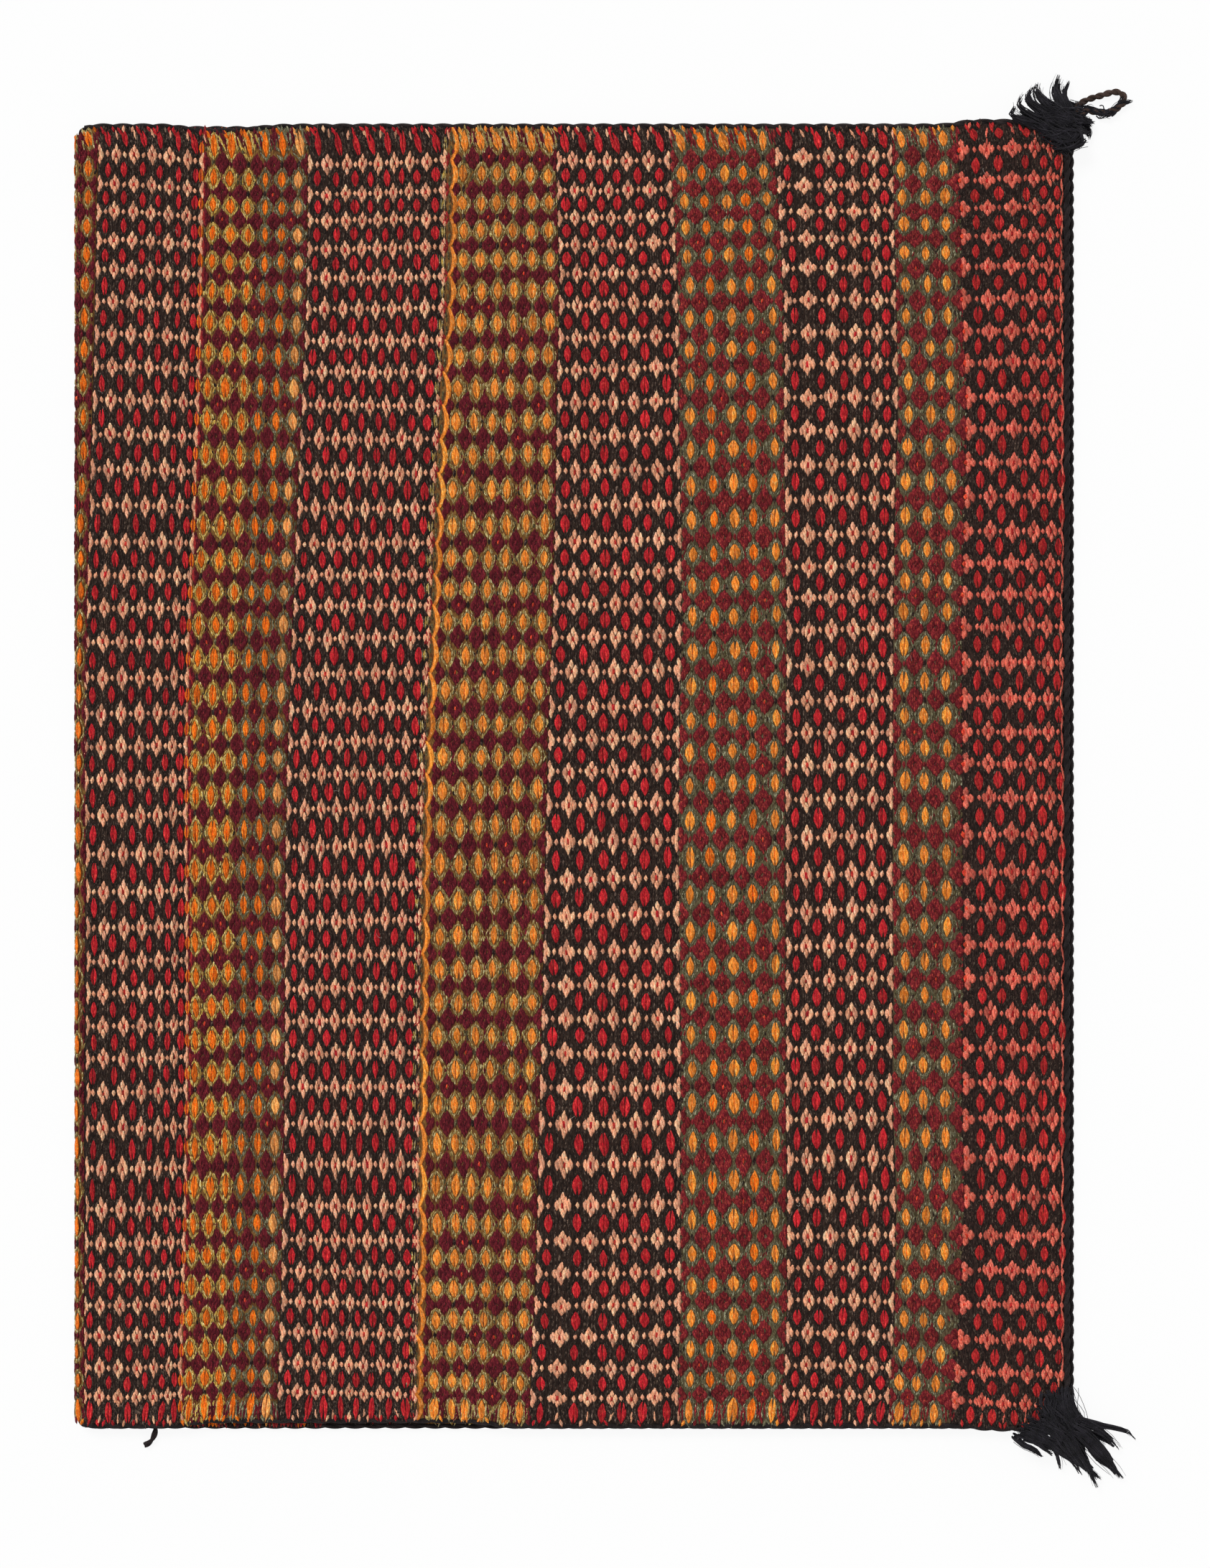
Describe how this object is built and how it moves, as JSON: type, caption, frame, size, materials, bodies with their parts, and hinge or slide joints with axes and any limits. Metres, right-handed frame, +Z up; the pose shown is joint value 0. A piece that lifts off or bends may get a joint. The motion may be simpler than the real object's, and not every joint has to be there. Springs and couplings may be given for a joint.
{
  "type": "saddle blanket",
  "caption": "Hand-woven wool double saddle blanket in striped diamond twill, folded once, with twisted selvage cords and black corner tassels; opens flat at its fold.",
  "frame": {"origin": "on the ground, under the centre of the box of the folded blanket and its tassels", "axes": "+X along the warps from the fold to the open ends, +Y along the wefts towards the far side, +Z up"},
  "size_m": [0.6872, 0.9282, 0.0104],
  "materials": {
    "black_weft": "matte wool",
    "gold_weft": "matte wool",
    "green_weft": "matte wool",
    "maroon_weft": "matte wool",
    "coral_weft": "matte wool",
    "fold_weft": "matte wool",
    "warp": "matte wool",
    "selvage_cord": "matte wool",
    "tassel": "matte wool",
    "loop_cord": "matte wool"
  },
  "bodies": {
    "root": {"lower_black_band_1": "black_weft", "lower_gold_band_2": "gold_weft", "lower_black_band_3": "black_weft", "lower_gold_band_4": "gold_weft", "lower_black_band_5": "black_weft", "lower_green_band_6": "green_weft", "lower_black_band_7": "black_weft", "lower_maroon_band_8": "maroon_weft", "lower_coral_band_9": "coral_weft", "lower_warps": "warp", "lower_far_side_cord": "selvage_cord", "lower_near_side_cord": "selvage_cord", "lower_end_cord": "selvage_cord", "loose_cord_tail": "selvage_cord", "fold_band": "fold_weft", "fold_warps": "warp", "fold_far_side_cord": "selvage_cord", "fold_near_side_cord": "selvage_cord"},
    "upper_panel": {"upper_black_band_1": "black_weft", "upper_gold_band_2": "gold_weft", "upper_black_band_3": "black_weft", "upper_gold_band_4": "gold_weft", "upper_black_band_5": "black_weft", "upper_green_band_6": "green_weft", "upper_black_band_7": "black_weft", "upper_maroon_band_8": "maroon_weft", "upper_coral_band_9": "coral_weft", "upper_warps": "warp", "upper_far_side_cord": "selvage_cord", "upper_near_side_cord": "selvage_cord", "upper_end_cord": "selvage_cord"},
    "upper_far_tassel_body": {"upper_far_tassel": "tassel"},
    "upper_near_tassel_body": {"upper_near_tassel": "tassel"},
    "lower_far_tassel_body": {"lower_far_tassel": "tassel", "corner_loop_cord": "loop_cord"},
    "lower_near_tassel_body": {"lower_near_tassel": "tassel"}
  },
  "joints": [
    {"name": "fold", "type": "hinge", "parent": "root", "child": "upper_panel", "pos_m": [-0.34262, 0.00394, 0.0052], "axis": [0, -1, 0], "range_deg": [0, 180], "deforming": ["fold_band", "fold_warps", "fold_far_side_cord", "fold_near_side_cord"]},
    {"name": "upper_far_tassel_swing", "type": "hinge", "parent": "upper_panel", "child": "upper_far_tassel_body", "pos_m": [0.30488, 0.4316, 0.0079], "axis": [0, 0, 1], "range_deg": [-30, 30]},
    {"name": "upper_near_tassel_swing", "type": "hinge", "parent": "upper_panel", "child": "upper_near_tassel_body", "pos_m": [0.30488, -0.42372, 0.0079], "axis": [0, 0, 1], "range_deg": [-30, 30]},
    {"name": "lower_far_tassel_swing", "type": "hinge", "parent": "root", "child": "lower_far_tassel_body", "pos_m": [0.30788, 0.4286, 0.0025], "axis": [0, 0, 1], "range_deg": [-30, 30]},
    {"name": "lower_near_tassel_swing", "type": "hinge", "parent": "root", "child": "lower_near_tassel_body", "pos_m": [0.30788, -0.42672, 0.0025], "axis": [0, 0, 1], "range_deg": [-30, 30]}
  ]
}
